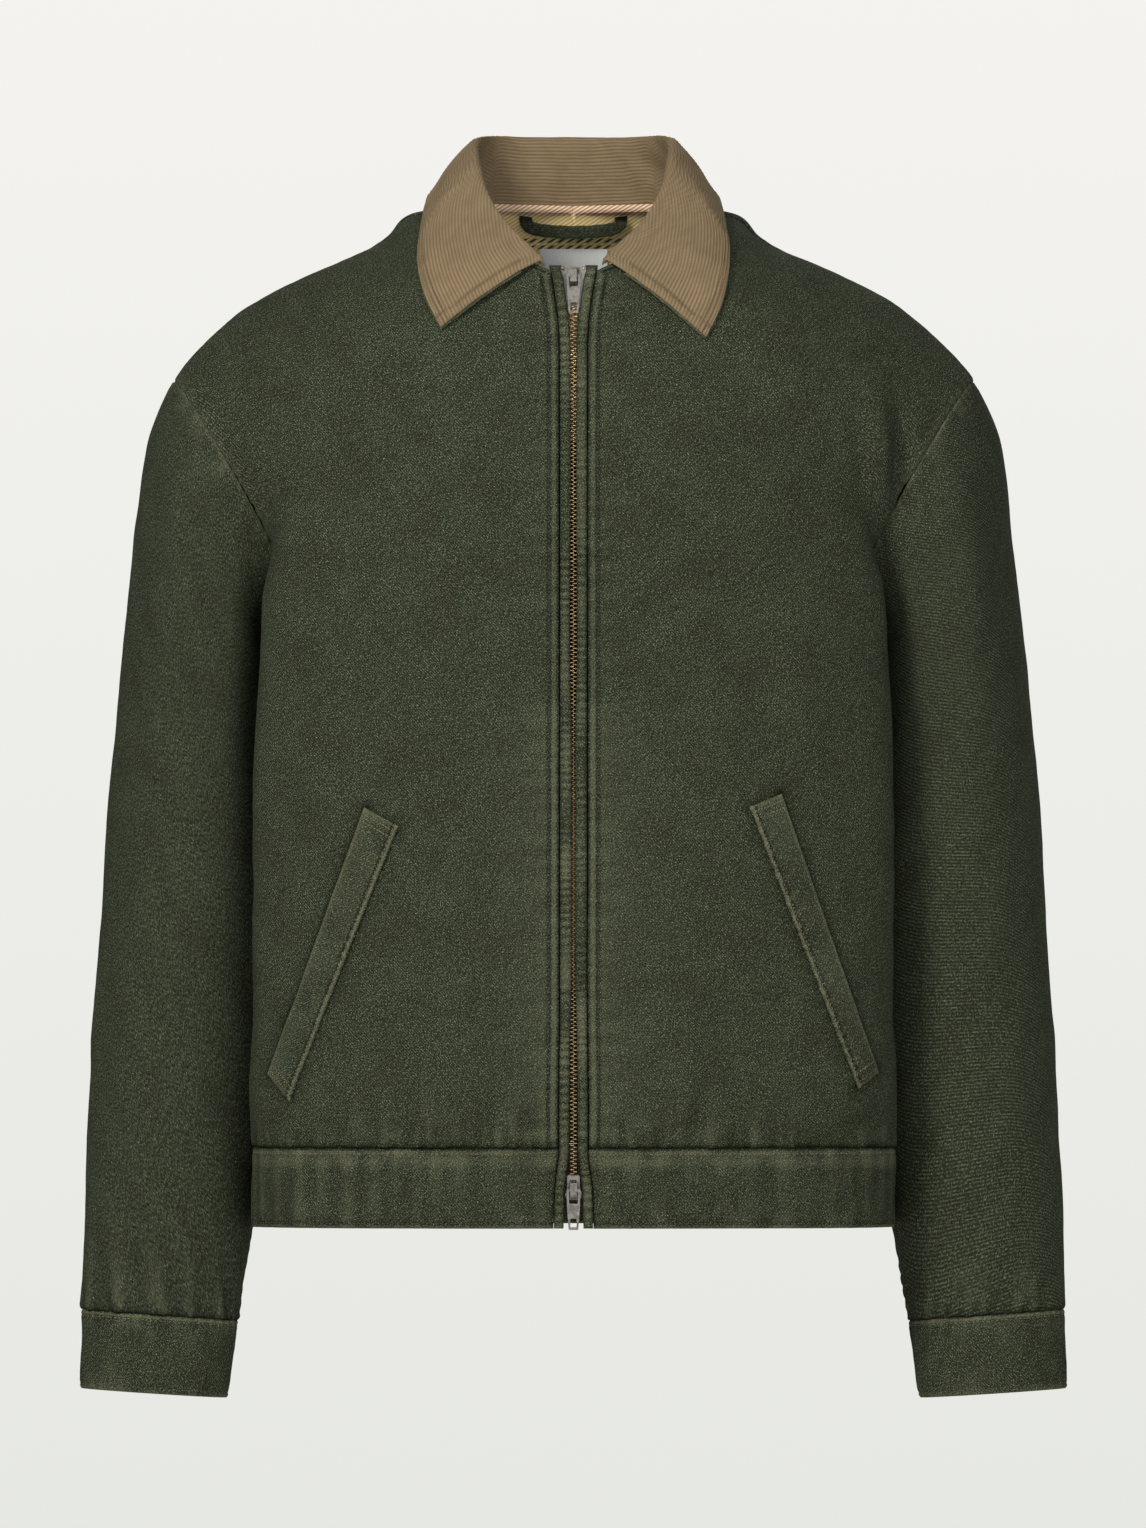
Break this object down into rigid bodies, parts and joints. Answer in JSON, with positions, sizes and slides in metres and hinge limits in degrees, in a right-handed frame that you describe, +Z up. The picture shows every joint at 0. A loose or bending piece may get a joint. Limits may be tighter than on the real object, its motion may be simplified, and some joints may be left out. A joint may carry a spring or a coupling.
{
  "type": "denim jacket",
  "caption": "Zip-front denim jacket with corduroy collar, slanted welt pockets, waistband and cuffs, filled out as if worn, with swinging pull tabs.",
  "frame": {"origin": "middle of the neck, at the height where the collar meets the shoulders; the jacket is held there", "axes": "+Z up along the zip, -Y out of the zip, +X towards the wearer's left sleeve"},
  "size_m": [0.6128, 0.2668, 0.7835],
  "materials": {
    "denim": "matte twill weave, washed",
    "corduroy": "matte ribbed pile",
    "twill": "matte",
    "tape": "matte woven tape",
    "label": "smooth, blank",
    "brass": "aged",
    "steel": "satin"
  },
  "bodies": {
    "jacket": {"front_left": "denim", "front_right": "denim", "back": "denim", "sleeve_left": "denim", "sleeve_right": "denim", "cuff_left": "denim", "cuff_right": "denim", "waistband_left": "denim", "waistband_right": "denim", "waistband_back": "denim", "zip_band_left": "denim", "zip_band_right": "denim", "welt_left": "denim", "welt_right": "denim", "collar_top": "corduroy", "collar_under": "denim", "hanger_loop": "denim", "neck_lining": "twill", "neck_label": "label", "zip_tape_left": "tape", "zip_tape_right": "tape", "zip_chain": "brass", "top_stop_left": "brass", "top_stop_right": "brass", "slider_top": "steel", "slider_bottom": "steel"},
    "pull_tab_top": {"pull_tab_top": "steel"},
    "pull_tab_bottom": {"pull_tab_bottom": "steel"}
  },
  "joints": [
    {"name": "pull_tab_top_hinge", "type": "hinge", "parent": "jacket", "child": "pull_tab_top", "pos_m": [0, -0.09073, -0.03442], "axis": [-1, 0, 0], "range_deg": [0, 165]},
    {"name": "pull_tab_bottom_hinge", "type": "hinge", "parent": "jacket", "child": "pull_tab_bottom", "pos_m": [0, -0.12305, -0.59859], "axis": [-1, 0, 0], "range_deg": [0, 165]}
  ]
}
